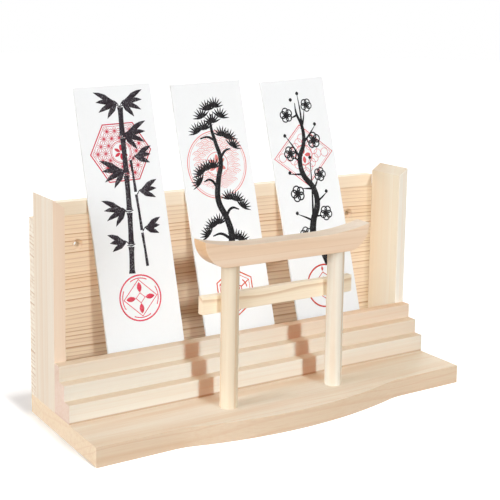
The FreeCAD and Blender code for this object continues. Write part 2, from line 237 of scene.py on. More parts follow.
def add(tree, kind, inputs=None, **settings):
    """Make a node, set its properties, and set or link its inputs."""
    node = tree.nodes.new(kind)
    for name, value in settings.items():
        setattr(node, name, value)
    for key, value in (inputs or {}).items():
        socket = node.inputs[key]
        if isinstance(value, bpy.types.NodeSocket):
            tree.links.new(value, socket)
        else:
            socket.default_value = value
    return node


def make(tree, kind, inputs=None, **settings):
    """Make a node and return its first output."""
    return add(tree, kind, inputs, **settings).outputs[0]


def maths(tree, operation, *values, clamp=False):
    return make(tree, "ShaderNodeMath", dict(enumerate(values)), operation=operation,
                use_clamp=clamp)


def vectors(tree, operation, *values):
    return make(tree, "ShaderNodeVectorMath", dict(enumerate(values)), operation=operation)


def joined(tree, x=0.0, y=0.0, z=0.0):
    return make(tree, "ShaderNodeCombineXYZ", {0: x, 1: y, 2: z})


def split(tree, vector):
    return add(tree, "ShaderNodeSeparateXYZ", {0: vector}).outputs


def smooth(tree, value, low, high, out_low=0.0, out_high=1.0):
    return make(tree, "ShaderNodeMapRange",
                {"Value": value, "From Min": low, "From Max": high, "To Min": out_low,
                 "To Max": out_high}, interpolation_type="SMOOTHSTEP")


def blend(tree, factor, first, second, mode="MIX"):
    node = tree.nodes.new("ShaderNodeMix")
    node.data_type = "RGBA"
    node.blend_type = mode
    for socket, value in ((node.inputs[0], factor), (node.inputs[6], first),
                          (node.inputs[7], second)):
        if isinstance(value, bpy.types.NodeSocket):
            tree.links.new(value, socket)
        elif isinstance(value, (int, float)):
            socket.default_value = value
        else:
            socket.default_value = (*value[:3], 1)
    return node.outputs[2]


def noise(tree, vector, scale, detail=2.0, roughness=0.5):
    """Noise stretched by a different scale along each axis."""
    return make(tree, "ShaderNodeTexNoise",
                {"Vector": vectors(tree, "MULTIPLY", vector, scale), "Scale": 1.0,
                 "Detail": detail, "Roughness": roughness})


def tinted(tone, tint):
    return [part * share for part, share in zip(tone, tint)]


def new_material(name):
    material = bpy.data.materials.new(name)
    material.use_nodes = True
    material.node_tree.nodes.clear()
    return material


def end_material(material, body, dull, gloss, **inputs):
    """End a material in a shader with this colour, roughness and specular level."""
    inputs = {"Base Color": body, "Roughness": dull, "Specular IOR Level": gloss, **inputs}
    shader = make(material.node_tree, "ShaderNodeBsdfPrincipled", inputs)
    add(material.node_tree, "ShaderNodeOutputMaterial", {"Surface": shader})
    return material


def new_tree(name, sockets):
    """Geometry tree with a geometry input and output and the named inputs."""
    tree = bpy.data.node_groups.new(name, "GeometryNodeTree")
    tree.is_modifier = True
    face = tree.interface
    face.new_socket("Geometry", in_out="OUTPUT", socket_type="NodeSocketGeometry")
    face.new_socket("Geometry", in_out="INPUT", socket_type="NodeSocketGeometry")
    for label, kind in sockets.items():
        face.new_socket(label, in_out="INPUT", socket_type=f"NodeSocket{kind}")
    return tree, tree.nodes.new("NodeGroupInput").outputs


# Wood

def growth_ring_group():
    """Late-wood lines of a tree whose pith runs along X through the origin."""
    group = bpy.data.node_groups.get("growth_rings")
    if group:
        return group
    group = bpy.data.node_groups.new("growth_rings", "ShaderNodeTree")
    face = group.interface
    face.new_socket("Vector", in_out="INPUT", socket_type="NodeSocketVector")
    for name in ("Ring Width", "Wander", "Wave Length", "Seed"):
        face.new_socket(name, in_out="INPUT", socket_type="NodeSocketFloat")
    for name in ("Line", "Ring Shade"):
        face.new_socket(name, in_out="OUTPUT", socket_type="NodeSocketFloat")
    given = group.nodes.new("NodeGroupInput").outputs
    result = group.nodes.new("NodeGroupOutput").inputs
    calc = partial(maths, group)
    ring, seed = given["Ring Width"], given["Seed"]
    moved = vectors(group, "ADD", given["Vector"], joined(group, seed, seed))
    stretch = joined(group, calc("DIVIDE", 1.0, given["Wave Length"]), 16.0, 16.0)
    slow = noise(group, moved, stretch, 1.5)
    quick = noise(group, moved, (22.0, 90.0, 90.0))
    across = vectors(group, "MULTIPLY", given["Vector"], (0.0, 1.0, 1.0))
    radius = add(group, "ShaderNodeVectorMath", {0: across}, operation="LENGTH").outputs["Value"]
    sway = calc("MULTIPLY", calc("SUBTRACT", slow, 0.5), given["Wander"])
    jitter = calc("MULTIPLY", calc("SUBTRACT", quick, 0.5), calc("MULTIPLY", ring, 0.22))
    radius = calc("ADD", calc("ADD", radius, sway), jitter)
    phase = calc("DIVIDE", radius, ring)
    uneven = make(group, "ShaderNodeTexNoise",
                  {"W": calc("MULTIPLY_ADD", phase, 0.45, seed), "Scale": 1.0, "Detail": 1.0},
                  noise_dimensions="1D")
    phase = calc("MULTIPLY_ADD", uneven, 1.3, phase)
    count = calc("ADD", calc("FLOOR", phase), seed)
    shade = make(group, "ShaderNodeTexWhiteNoise", {"W": count}, noise_dimensions="1D")
    part = calc("FRACT", phase)
    rise = smooth(group, part, 0.50, 0.92)
    fall = smooth(group, part, 0.94, 1.0, 1.0, 0.0)
    group.links.new(calc("MULTIPLY", calc("POWER", rise, 2.6), fall), result["Line"])
    group.links.new(shade, result["Ring Shade"])
    return group


def wood(name, early, late, *, pith, ring, wander, wave, line, bands, fibre, seed,
         turn=(0, 0, 0), end=0.15, veins=0.3, end_tone=None, painted_front_shading=None, painted_top_shading=None,
         fade=None, seam_and_shade_foot=None):
    """Planed softwood. The pith line passes through the point given, along the turned X axis.

    The front and top tones multiply the faces that look along Y and Z: painted light and shade
    by which way a face looks. fade is an axis, where a tone begins and is full on it, and the
    tone. The last argument is the height of a dark seam line's foot, partly painted shade in the
    crease.
    """
    material = new_material(name)
    tree = material.node_tree
    calc = partial(maths, tree)
    place = add(tree, "ShaderNodeTexCoord").outputs
    vector = make(tree, "ShaderNodeMapping",
                  {"Vector": place["Object"], "Location": pith, "Rotation": turn},
                  vector_type="TEXTURE")
    rings = add(tree, "ShaderNodeGroup",
                {"Vector": vector, "Ring Width": ring, "Wander": wander, "Wave Length": wave,
                 "Seed": seed}, node_tree=growth_ring_group()).outputs
    shade = rings["Ring Shade"]
    lines = calc("MULTIPLY", rings["Line"], calc("MULTIPLY_ADD", shade, 0.75, 0.30))
    lines = calc("MULTIPLY", lines, line, clamp=True)
    cloud, hairs, pores, cut = (noise(tree, vector, *WOOD_NOISES[kind])
                                for kind in ("cloud", "hairs", "pores", "cut"))
    drift = vectors(tree, "ADD", vector, (seed, 0.31 * seed, 0.17 * seed))
    vein = noise(tree, drift, *WOOD_NOISES["vein"])

    warm = tinted(early, WARM_TONE)
    cloud = calc("MULTIPLY", smooth(tree, cloud, 0.35, 0.70), bands, clamp=True)
    body = blend(tree, cloud, early, warm)
    for factor, tone in ((calc("MULTIPLY", shade, bands, clamp=True), warm),
                         (smooth(tree, vein, 0.46, 0.70, 0.0, veins), tinted(early, VEIN_TONE)),
                         (lines, late),
                         (smooth(tree, hairs, 0.42, 0.72, 0.0, fibre), late),
                         (smooth(tree, pores, 0.60, 0.80, 0.0, fibre * 0.8), late)):
        body = blend(tree, factor, body, tone)

    # Faces that look along Y and Z get their own tones: painted light and shade by which way a face
    # looks
    normal = split(tree, place["Normal"])
    for tone, axis in ((painted_front_shading, 1), (painted_top_shading, 2)):
        if tone:
            painted_facing_mask = smooth(tree, calc("ABSOLUTE", normal[axis]), 0.45, 0.95)
            body = blend(tree, painted_facing_mask, body, tone, mode="MULTIPLY")
    spot = split(tree, place["Object"])
    if fade:
        axis, start, stop, tone = fade
        body = blend(tree, smooth(tree, spot[axis], start, stop), body, tone, mode="MULTIPLY")
    # A dark seam line at the foot, partly painted shade in the crease
    if seam_and_shade_foot:
        start, stop = (seam_and_shade_foot + height for height in SEAM_AND_SHADE_HEIGHT)
        seam_and_shade_mask = smooth(tree, spot[2], start, stop, 1.0, 0.0)
        body = blend(tree, seam_and_shade_mask, body, tinted(late, SEAM_AND_SHADE_TONE))

    facing = make(tree, "ShaderNodeMapping", {"Vector": place["Normal"], "Rotation": turn},
                  vector_type="TEXTURE")
    endways = smooth(tree, calc("ABSOLUTE", split(tree, facing)[0]), 0.6, 0.95, 0.0, end)
    end_body = blend(tree, smooth(tree, cut, 0.35, 0.75, 0.0, 0.35),
                     end_tone or tinted(late, END_TONE), late)
    end_body = blend(tree, calc("MULTIPLY", lines, 0.8), end_body, late)
    body = blend(tree, endways, body, end_body)

    relief = calc("ADD", calc("MULTIPLY", hairs, 0.6), calc("MULTIPLY", lines, 0.5))
    bump = make(tree, "ShaderNodeBump",
                {"Height": relief, "Strength": 0.35, "Distance": 0.12 * MM})
    return end_material(material, body, calc("MULTIPLY_ADD", hairs, 0.16, 0.48), 0.3, Normal=bump)


def shade_group():
    """Merge the loose triangles of a board and shade only its curves smoothly."""
    group = bpy.data.node_groups.get("merge_and_shade")
    if group:
        return group
    group, given = new_tree("merge_and_shade", {})
    merged = make(group, "GeometryNodeMergeByDistance",
                  {"Geometry": given["Geometry"], "Distance": MERGE_GAP})
    plain = make(group, "GeometryNodeRemoveAttribute",
                 {"Geometry": merged, "Name": "custom_normal"})
    bend = add(group, "GeometryNodeInputMeshEdgeAngle").outputs["Unsigned Angle"]
    curved = make(group, "FunctionNodeCompare", {0: bend, 1: SOFT_ANGLE}, operation="LESS_THAN")
    soft = make(group, "GeometryNodeSetShadeSmooth", {"Geometry": plain, "Shade Smooth": True})
    edges = make(group, "GeometryNodeSetShadeSmooth",
                 {"Geometry": soft, "Shade Smooth": curved}, domain="EDGE")
    group.links.new(edges, group.nodes.new("NodeGroupOutput").inputs[0])
    return group


def dress(node, material):
    """Give a piece of the frame its material."""
    slots = NODES[node].material_slots
    if not slots:
        NODES[node].data.materials.append(material)
    for slot in slots:
        slot.material = material


def dress_wood(node, material, radius=0):
    """Dress a wooden piece, shade it, and round its edges a little, as sanding leaves them."""
    dress(node, material)
    piece = NODES[node]
    piece.modifiers.new("merge_and_shade", "NODES").node_group = shade_group()
    if radius:
        bevel = piece.modifiers.new("eased_edges", "BEVEL")
        bevel.width = radius
        bevel.segments = 3
        bevel.limit_method = "ANGLE"
        bevel.angle_limit = SOFT_ANGLE
        bevel.harden_normals = True


class SHELF_OT_base(bpy.types.Operator):
    """Finish the base board"""

    bl_idname = "shelf.base"
    bl_label = "Base board"

    def execute(self, context):
        look = context.scene.shelf_boards
        # The tones of its front face and its top are painted light and shade
        board = wood("base_board_wood", look.base_colour, look.line_colour,
                     pith=(0, 0.03, 0.16), turn=(0, math.radians(1.2), math.radians(0.8)),
                     ring=6.5 * MM, wander=14 * MM, wave=0.16, line=0.5, bands=0.35, fibre=0.28,
                     veins=0.85, end=0.85, end_tone=(0.906, 0.763, 0.569),
                     painted_front_shading=(0.965, 0.88, 0.80), painted_top_shading=(0.98, 1.02, 1.11), seed=3.0)
        dress_wood("base_board", board, look.edge_round)
        return {"FINISHED"}


class SHELF_OT_steps(bpy.types.Operator):
    """Finish the three steps, the lowest with a dark seam line at its foot that is partly painted
    shade
    """

    bl_idname = "shelf.steps"
    bl_label = "Steps"

    def execute(self, context):
        look = context.scene.shelf_boards
        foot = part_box("step_lower")[0][2]
        steps = (("step_lower", (0, 0.035, 0.075), 0.5, (1, 0.98, 0.97), foot, 11.0),
                 ("step_middle", (0, 0.050, -0.020), 0.1, (1, 0.95, 0.91), None, 18.0),
                 ("step_upper", (0, 0.060, 0.110), -0.3, (1, 0.88, 0.80), None, 25.0))
        for node, pith, tilt, tone, seam_and_shade_foot, seed in steps:
            # The tone of the treads is painted shade, and the lowest step's foot line is partly
            # painted shade
            step = wood(f"{node}_wood", look.step_colour, look.line_colour, pith=pith,
                        turn=(0, math.radians(tilt), math.radians(0.4)), ring=3.4 * MM,
                        wander=5 * MM, wave=0.35, line=0.22, bands=0.25, fibre=0.14, veins=0.45,
                        end=0.7, end_tone=(0.849, 0.668, 0.586), painted_top_shading=(0.905, 0.85, 0.82),
                        fade=(0, -0.06, 0.10, tone), seam_and_shade_foot=seam_and_shade_foot, seed=seed)
            dress_wood(node, step, look.step_round)
        return {"FINISHED"}


class SHELF_OT_panels(bpy.types.Operator):
    """Finish the two side panels, the right one darker towards the back board"""

    bl_idname = "shelf.panels"
    bl_label = "Side panels"

    def execute(self, context):
        look = context.scene.shelf_boards
        # The tones of the panels' front faces are painted light and shade; the right panel's front
        # face is made much lighter than its darker wood
        panels = (("side_panel_left", look.panel_colour, (-0.19, 0.11, 0),
                   (0.962, 0.85, 0.785), None, 2.0),
                  ("side_panel_right", look.right_panel_shaded_colour, (0.21, -0.03, 0),
                   (1.25, 1.32, 1.475), (1, 0.022, 0.048, (0.95, 0.89, 0.84)), 5.0))
        for node, early, pith, painted_front_shading, fade, seed in panels:
            panel = wood(f"{node}_wood", early, look.line_colour, pith=pith, turn=UPRIGHT,
                         ring=5.0 * MM, wander=4 * MM, wave=0.35, line=0.20, bands=0.5,
                         fibre=0.10, end=0.25, painted_front_shading=painted_front_shading, fade=fade, seed=seed)
            dress_wood(node, panel, look.edge_round)
        return {"FINISHED"}


class SHELF_OT_back(bpy.types.Operator):
    """Finish the strongly lined back board and the pale rail on top of it"""

    bl_idname = "shelf.back"
    bl_label = "Back board and rail"

    def execute(self, context):
        look = context.scene.shelf_boards
        board = wood("back_board_wood", look.back_colour, look.back_line_colour,
                     pith=(0, 0.10, -0.22), turn=(0, math.radians(0.6), 0), ring=look.back_ring,
                     wander=9 * MM, wave=0.30, line=0.85, bands=0.5, fibre=0.12, end=0.8,
                     end_tone=(0.945, 0.915, 0.80), seed=8.0)
        dress_wood("back_board", board)  # a bevel would fold slivers between the screw holes
        rail = wood("back_rail_wood", look.rail_colour, look.line_colour, pith=(0, 0.12, 0.10),
                    ring=3.0 * MM, wander=5 * MM, wave=0.35, line=0.18, bands=0.2, fibre=0.08,
                    seed=4.0)
        dress_wood("back_rail", rail, look.edge_round)
        return {"FINISHED"}


class SHELF_OT_posts(bpy.types.Operator):
    """Finish the two round posts of the gate"""

    bl_idname = "shelf.posts"
    bl_label = "Gate posts"

    def execute(self, context):
        look = context.scene.shelf_gate
        posts = (("torii_post_left", look.post_colour, (-0.026, -0.015, 0), 1.0),
                 ("torii_post_right", look.right_post_colour, (0.074, -0.015, 0), 6.0))
        for node, early, pith, seed in posts:
            post = wood(f"{node}_wood", early, look.streak_colour, pith=pith, turn=UPRIGHT,
                        ring=4.2 * MM, wander=3 * MM, wave=0.30, line=0.62, bands=0.3,
                        fibre=0.14, end=0.2, seed=seed)
            dress_wood(node, post, context.scene.shelf_boards.edge_round)
        return {"FINISHED"}


class SHELF_OT_beams(bpy.types.Operator):
    """Finish the gate's lintel and tie beam"""

    bl_idname = "shelf.beams"
    bl_label = "Gate beams"

    def execute(self, context):
        look = context.scene.shelf_gate
        edge_round = context.scene.shelf_boards.edge_round
        # The tone of its top and bottom faces is painted shade
        lintel = wood("lintel_wood", look.lintel_colour, look.streak_colour,
                      pith=(0, -0.035, 0.165), ring=4.2 * MM, wander=5 * MM, wave=0.20,
                      line=0.25, bands=0.35, fibre=0.12, veins=0.5, end=0.6,
                      end_tone=(0.775, 0.475, 0.222), painted_top_shading=(0.86, 0.91, 0.95), seed=9.0)
        dress_wood("torii_lintel", lintel, edge_round)
        tie = wood("tie_beam_wood", look.tie_colour, look.streak_colour,
                   pith=(0, -0.015, 0.060), ring=8.0 * MM, wander=9 * MM, wave=0.06, line=0.6,
                   bands=0.25, fibre=0.10, end=0.2, seed=14.0)
        dress_wood("torii_tie_beam", tie, edge_round)
        return {"FINISHED"}


# Paper and ink

def paper(name, tint):
    material = new_material(name)
    tree = material.node_tree
    place = add(tree, "ShaderNodeTexCoord").outputs["Object"]
    pulp = noise(tree, place, (900.0, 900.0, 260.0), 4.0, 0.65)
    cloud = noise(tree, place, (22.0, 22.0, 14.0))
    body = blend(tree, smooth(tree, cloud, 0.35, 0.75, 0.0, 0.5), tint,
                 tinted(tint, (0.99, 0.987, 0.98)))
    body = blend(tree, smooth(tree, pulp, 0.45, 0.75, 0.0, 0.5), body,
                 tinted(tint, (0.97, 0.967, 0.96)))
    bump = make(tree, "ShaderNodeBump", {"Height": pulp, "Strength": 0.25, "Distance": 0.05 * MM})
    dull = maths(tree, "MULTIPLY_ADD", pulp, 0.15, 0.70)
    return end_material(material, body, dull, 0.2, Normal=bump)


def print_material(name, tint, dryness):
    """Ink that lies unevenly on paper: thin places show a lighter tone."""
    material = new_material(name)
    tree = material.node_tree
    place = add(tree, "ShaderNodeTexCoord").outputs["Object"]
    grain = noise(tree, place, (1300.0, 1300.0, 700.0), 3.0, 0.6)
    pool = noise(tree, place, (150.0, 150.0, 90.0))
    thin = maths(tree, "MULTIPLY", smooth(tree, grain, 0.50, 0.68),
                 smooth(tree, pool, 0.38, 0.62, 0.15, 1.0))
    lighter = [part + (PAPER_LEVEL - part) * DRY_LIFT for part in tint]
    body = blend(tree, maths(tree, "MULTIPLY", thin, dryness, clamp=True), tint, lighter)
    return end_material(material, body, maths(tree, "MULTIPLY_ADD", grain, 0.3, 0.5), 0.15)


# Node trees that lay strokes and repeat motifs. A drawing lies in X and Y, with Z out of the paper.

def close_tree(tree, geometry, material):
    whole = make(tree, "GeometryNodeRealizeInstances", {"Geometry": geometry})
    coloured = make(tree, "GeometryNodeSetMaterial", {"Geometry": whole, "Material": material})
    tree.links.new(coloured, tree.nodes.new("NodeGroupOutput").inputs[0])
    return tree


def here(tree):
    """X, Y and Z of each point."""
    return split(tree, make(tree, "GeometryNodeInputPosition"))


def store(tree, geometry, name, value):
    return make(tree, "GeometryNodeStoreNamedAttribute",
                {"Geometry": geometry, "Name": name, "Value": value},
                data_type="FLOAT", domain="POINT")


def recall(tree, name):
    return make(tree, "GeometryNodeInputNamedAttribute", {"Name": name}, data_type="FLOAT")


def shown(tree, thing):
    """Geometry of the object given."""
    return add(tree, "GeometryNodeObjectInfo", {"Object": thing}).outputs["Geometry"]


def brush_tree():
    """Lay a flat slab of ink along each stroke, as wide as the stroke's radius says."""
    tree, given = new_tree("brush_strokes",
                           {"Strokes": "Object", "Depth": "Float", "Material": "Material"})
    drawn = store(tree, shown(tree, given["Strokes"]), "level", here(tree)[2])
    drawn = make(tree, "GeometryNodeSetCurveNormal", {"Curve": drawn}, mode="Z_UP")
    nib = make(tree, "GeometryNodeCurvePrimitiveQuadrilateral",
               {"Width": 2.0, "Height": 0.02})  # the upper and lower side get their heights below
    nib = store(tree, nib, "upper", maths(tree, "GREATER_THAN", here(tree)[1], 0.0))
    slab = make(tree, "GeometryNodeCurveToMesh",
                {"Curve": drawn, "Profile Curve": nib,
                 "Scale": make(tree, "GeometryNodeInputRadius"), "Fill Caps": True})
    thick = maths(tree, "SUBTRACT", recall(tree, "level"), given["Depth"])
    height = maths(tree, "MULTIPLY_ADD", recall(tree, "upper"), thick, given["Depth"])
    x, y, _ = here(tree)
    slab = make(tree, "GeometryNodeSetPosition",
                {"Geometry": slab, "Position": joined(tree, x, y, height)})
    for name in ("level", "upper"):
        slab = make(tree, "GeometryNodeRemoveAttribute", {"Geometry": slab, "Name": name})
    return close_tree(tree, slab, given["Material"])


def round_tree():
    """Repeat a motif by even turns about each centre, which has its own 'turn' and 'size'."""
    tree, given = new_tree("turned_motif",
                           {"Centres": "Object", "Count": "Int", "First Turn": "Float",
                            "Step Turn": "Float", "Layer": "Float", "Material": "Material"})
    ray = make(tree, "GeometryNodePoints", {"Count": given["Count"]})
    index = make(tree, "GeometryNodeInputIndex")
    bearing = maths(tree, "MULTIPLY_ADD", index, given["Step Turn"], given["First Turn"])
    raised = joined(tree, z=maths(tree, "MULTIPLY", index, given["Layer"]))
    ray = make(tree, "GeometryNodeSetPosition", {"Geometry": ray, "Offset": raised})
    wheel = make(tree, "GeometryNodeInstanceOnPoints",
                 {"Points": ray, "Instance": given["Geometry"],
                  "Rotation": joined(tree, z=bearing)})
    size = recall(tree, "size")
    wheels = make(tree, "GeometryNodeInstanceOnPoints",
                  {"Points": shown(tree, given["Centres"]), "Instance": wheel,
                   "Rotation": joined(tree, z=recall(tree, "turn")),
                   "Scale": joined(tree, size, size, 1.0)})
    return close_tree(tree, wheels, given["Material"])


def lattice_tree():
    """Repeat a motif in staggered rows inside a polygon with even sides, round a free middle."""
    tree, given = new_tree("staggered_motif", {
        "Columns": "Int", "Rows": "Int", "Column Step": "Float", "Row Step": "Float",
        "Sides": "Float", "Side Turn": "Float", "Reach": "Float", "Squash": "Float",
        "Free Middle": "Float", "Layer": "Float", "Material": "Material"})
    calc = partial(maths, tree)
    columns, rows = given["Columns"], given["Rows"]
    index = make(tree, "GeometryNodeInputIndex")
    row = calc("FLOOR", calc("DIVIDE", calc("ADD", index, 0.5), columns))
    column = calc("SUBTRACT", index, calc("MULTIPLY", row, columns))
    middle_column, middle_row = (calc("FLOOR", calc("DIVIDE", total, 2.0))
                                 for total in (columns, rows))
    stagger = calc("MULTIPLY", calc("MODULO", row, 2.0), 0.5)
    column = calc("ADD", calc("SUBTRACT", column, middle_column), stagger)
    place = joined(tree, calc("MULTIPLY", column, given["Column Step"]),
                   calc("MULTIPLY", calc("SUBTRACT", row, middle_row), given["Row Step"]),
                   calc("MULTIPLY", index, given["Layer"]))
    points = make(tree, "GeometryNodePoints",
                  {"Count": calc("MULTIPLY", columns, rows), "Position": place})
    x, y, _ = here(tree)
    y = calc("DIVIDE", y, given["Squash"])
    away = calc("SQRT", calc("ADD", calc("MULTIPLY", x, x), calc("MULTIPLY", y, y)))
    sector = calc("DIVIDE", math.tau, given["Sides"])
    bearing = calc("ADD", calc("ARCTAN2", y, x), given["Side Turn"])
    bearing = calc("SUBTRACT", calc("FLOORED_MODULO", bearing, sector),
                   calc("MULTIPLY", sector, 0.5))
    outward = calc("MULTIPLY", away, calc("COSINE", bearing))
    kept = calc("MULTIPLY", calc("LESS_THAN", outward, given["Reach"]),
                calc("GREATER_THAN", away, given["Free Middle"]))
    motifs = make(tree, "GeometryNodeInstanceOnPoints",
                  {"Points": points, "Selection": kept, "Instance": given["Geometry"]})
    return close_tree(tree, motifs, given["Material"])


def place_object(name, data):
    piece = bpy.data.objects.new(name, data)
    bpy.context.scene.collection.objects.link(piece)
    return piece


def grow(tree, mesh=None, **given):
    """Run a tree on a mesh and return what it makes as a plain mesh."""
    host = place_object("grown", mesh or bpy.data.meshes.new("grown"))
    modifier = host.modifiers.new(tree.name, "NODES")
    modifier.node_group = tree
    for item in tree.interface.items_tree:
        key = item.name.replace(" ", "_").lower()
        if item.in_out == "INPUT" and key in given:
            modifier[item.identifier] = given.pop(key)
    if given:
        raise RuntimeError(f"{tree.name} has no input called {', '.join(given)}")
    shaped = host.evaluated_get(bpy.context.evaluated_depsgraph_get())
    result = bpy.data.meshes.new_from_object(shaped)
    bpy.data.objects.remove(host)
    return result


# Prints. A stroke is its points (x, y, half width), in millimetres, and its kind.

def line(*points):
    return points, "line"


def polygon(sides, radius, half, turn=0.0, squash=1.0):
    """Closed outline with even corners."""
    turns = [math.radians(turn) + math.tau * k / sides for k in range(sides)]
    return [(radius * math.cos(a), squash * radius * math.sin(a), half) for a in turns], "corners"


def arc_stroke(radius, first, last, half, count=7):
    turns = [math.radians(first + (last - first) * k / (count - 1)) for k in range(count)]
    return line(*((radius * math.cos(a), radius * math.sin(a), half) for a in turns))


def petal(start, length, half):
    """Pointed oval along Y, as one broad stroke."""
    widths = ((0.0, 0.12), (0.22, 0.72), (0.5, 1.0), (0.78, 0.72), (1.0, 0.12))
    return line(*((0, start + length * at, half * wide) for at, wide in widths))


def leaf(x, y, heading, length, half, bend=0.0):
    """Brush leaf that starts fine, swells and ends in a point; heading is clockwise from up."""
    ahead = Vector((math.sin(math.radians(heading)), math.cos(math.radians(heading))))
    aside = Vector((ahead.y, -ahead.x))
    widths = ((0.0, 0.25), (0.16, 0.55), (0.42, 1.0), (0.72, 0.68), (1.0, 0.06))
    points = []
    for at, wide in widths:
        sweep = bend * math.sin(math.pi * at / 2) ** 2 * length
        spot = Vector((x, y)) + ahead * length * at + aside * sweep
        points.append((spot.x, spot.y, half * wide))
    return line(*points)


def bamboo():
    """Upright stalk in segments, a young stalk beside it, and drooping leaves."""
    strokes = []
    joints = (93, 116, 143, 173, 203, 228)
    foot = joints[0]

    def stalk(y, half):
        return -5.0 + (y - foot) * 0.075 + 1.2 * math.sin((y - foot) / 30), y, half

    for low, high in zip(joints, joints[1:]):
        x, end, half = stalk(high - 1, 2.7)
        strokes.append(line(stalk(low + 1, 2.9), stalk(low + 4, 2.3), stalk((low + high) / 2, 2.1),
                            stalk(high - 4, 2.2), (x, end + 0.1, half)))
        x = stalk(high, 0)[0]
        strokes.append(line((x - 3.6, high + 0.7, 0.25), (x, high - 0.1, 0.6),
                            (x + 3.7, high + 0.8, 0.2)))
    for low, high in ((98, 125), (127, 156), (158, 184)):
        x = 9.5 - (low - 98) * 0.03
        strokes.append(line((x, low, 1.3), (x - 0.3, (low + high) / 2, 0.95),
                            (x - 0.8, high, 1.2)))
    for x, y, side, count, size in ((4.5, 229, 1, 4, 17), (2.5, 229, -1, 4, 17),
                                    (3.0, 203, 1, 4, 18), (1.0, 174, -1, 4, 18),
                                    (8.6, 184, 1, 3, 14), (8.8, 156, 1, 3, 15),
                                    (-2.5, 143, -1, 4, 17), (9.3, 126, 1, 3, 13),
                                    (-4.0, 117, -1, 3, 14)):
        tip_x, tip_y = x + side * 5.0, y + 4.0
        strokes.append(line((x, y, 0.45), (x + side * 2.5, y + 3, 0.35), (tip_x, tip_y, 0.3)))
        strokes += [leaf(tip_x - side * 1.2 * k, tip_y - 0.6 * k, side * (72 + 26 * k),
                         size * (1 - 0.09 * (k % 2)), 2.3, -0.12 * side) for k in range(count)]
    return strokes


PINE_FANS = ((-2, 221, 0), (5, 223, 10), (-8, 215, -18), (9, 214, 22), (-14, 203, -25),
             (-7, 205, -6), (1, 210, 0), (14, 195, 20), (8, 198, 8), (17, 188, 34),
             (-16, 168, -28), (-10, 171, -12), (-4, 172, 0), (-18, 161, -48), (13, 142, 16),
             (18, 136, 40), (7, 144, 4), (-12, 123, -18), (-17, 117, -42), (-6, 125, -2),
             (12, 108, 24), (16, 101, 46), (7, 110, 6))


def pine():
    """Bent trunk with short boughs; the needle fans are set on it apart."""
    return [line((-7, 86, 4.2), (-2, 98, 3.4), (4, 112, 3.1), (2, 128, 2.8), (-4, 145, 2.7),
                 (-1, 162, 2.4), (4, 178, 2.1), (1, 195, 1.7), (-1, 210, 1.2), (1, 218, 0.5)),
            line((4, 180, 1.2), (10, 186, 1.0), (15, 187, 0.5)),
            line((0, 196, 1.1), (-6, 199, 0.9), (-13, 198, 0.5)),
            line((-3, 156, 1.3), (-9, 163, 1.0), (-15, 162, 0.5)),
            line((1, 130, 1.3), (8, 137, 1.1), (15, 135, 0.5)),
            line((2, 112, 1.3), (-6, 117, 1.1), (-14, 116, 0.5)),
            line((3, 97, 1.2), (9, 102, 1.0), (14, 100, 0.5)),
            line((1, 212, 0.8), (5, 216, 0.5)), line((-1, 211, 0.8), (-6, 210, 0.5))]


PLUM_BLOSSOMS = ((-12, 214, 10, 1.0), (11, 221, 40, 0.9), (13, 189, 0, 1.1), (-14, 180, 25, 1.0),
                 (14, 158, 50, 0.95), (-13, 144, 15, 1.1), (14, 123, 30, 1.0), (-11, 108, 5, 0.95))
PLUM_BUDS = ((3, 232), (-5, 227), (17, 203), (-17, 196), (-18, 163), (18, 142), (-17, 127),
             (6, 174), (17, 106), (-6, 92))
PLUM_SHOOTS = ((2, 200, 8, 217), (3, 203, 3, 231), (-1, 213, -8, 211), (2, 188, 17, 202),
               (-5, 172, -12, 176), (-5, 176, -16, 195), (-4, 160, -18, 162), (5, 146, 11, 155),
               (6, 134, 18, 141), (5, 146, -8, 148), (-1, 118, -16, 126), (2, 122, 10, 121),
               (-3, 104, -8, 106), (5, 92, 17, 105), (-1, 120, 6, 173))


def plum():
    """Knotted bough with straight young shoots and buds."""
    bough = line((9, 79, 4.6), (4, 92, 4.0), (-3, 104, 3.6), (-1, 118, 3.2), (6, 132, 3.0),
                 (5, 146, 2.7), (-4, 160, 2.6), (-5, 174, 2.3), (2, 188, 2.0), (3, 202, 1.6),
                 (-1, 215, 1.0), (-1, 224, 0.3))
    shoots = [line((x0, y0, 1.1), ((x0 + x1) / 2 + 0.6, (y0 + y1) / 2, 0.75), (x1, y1, 0.25))
              for x0, y0, x1, y1 in PLUM_SHOOTS]
    buds = [line((x, y - 1.5, 0.5), (x, y - 0.5, 1.5), (x, y + 0.6, 1.6), (x, y + 1.8, 0.4))
            for x, y in PLUM_BUDS]
    return [bough] + shoots + buds


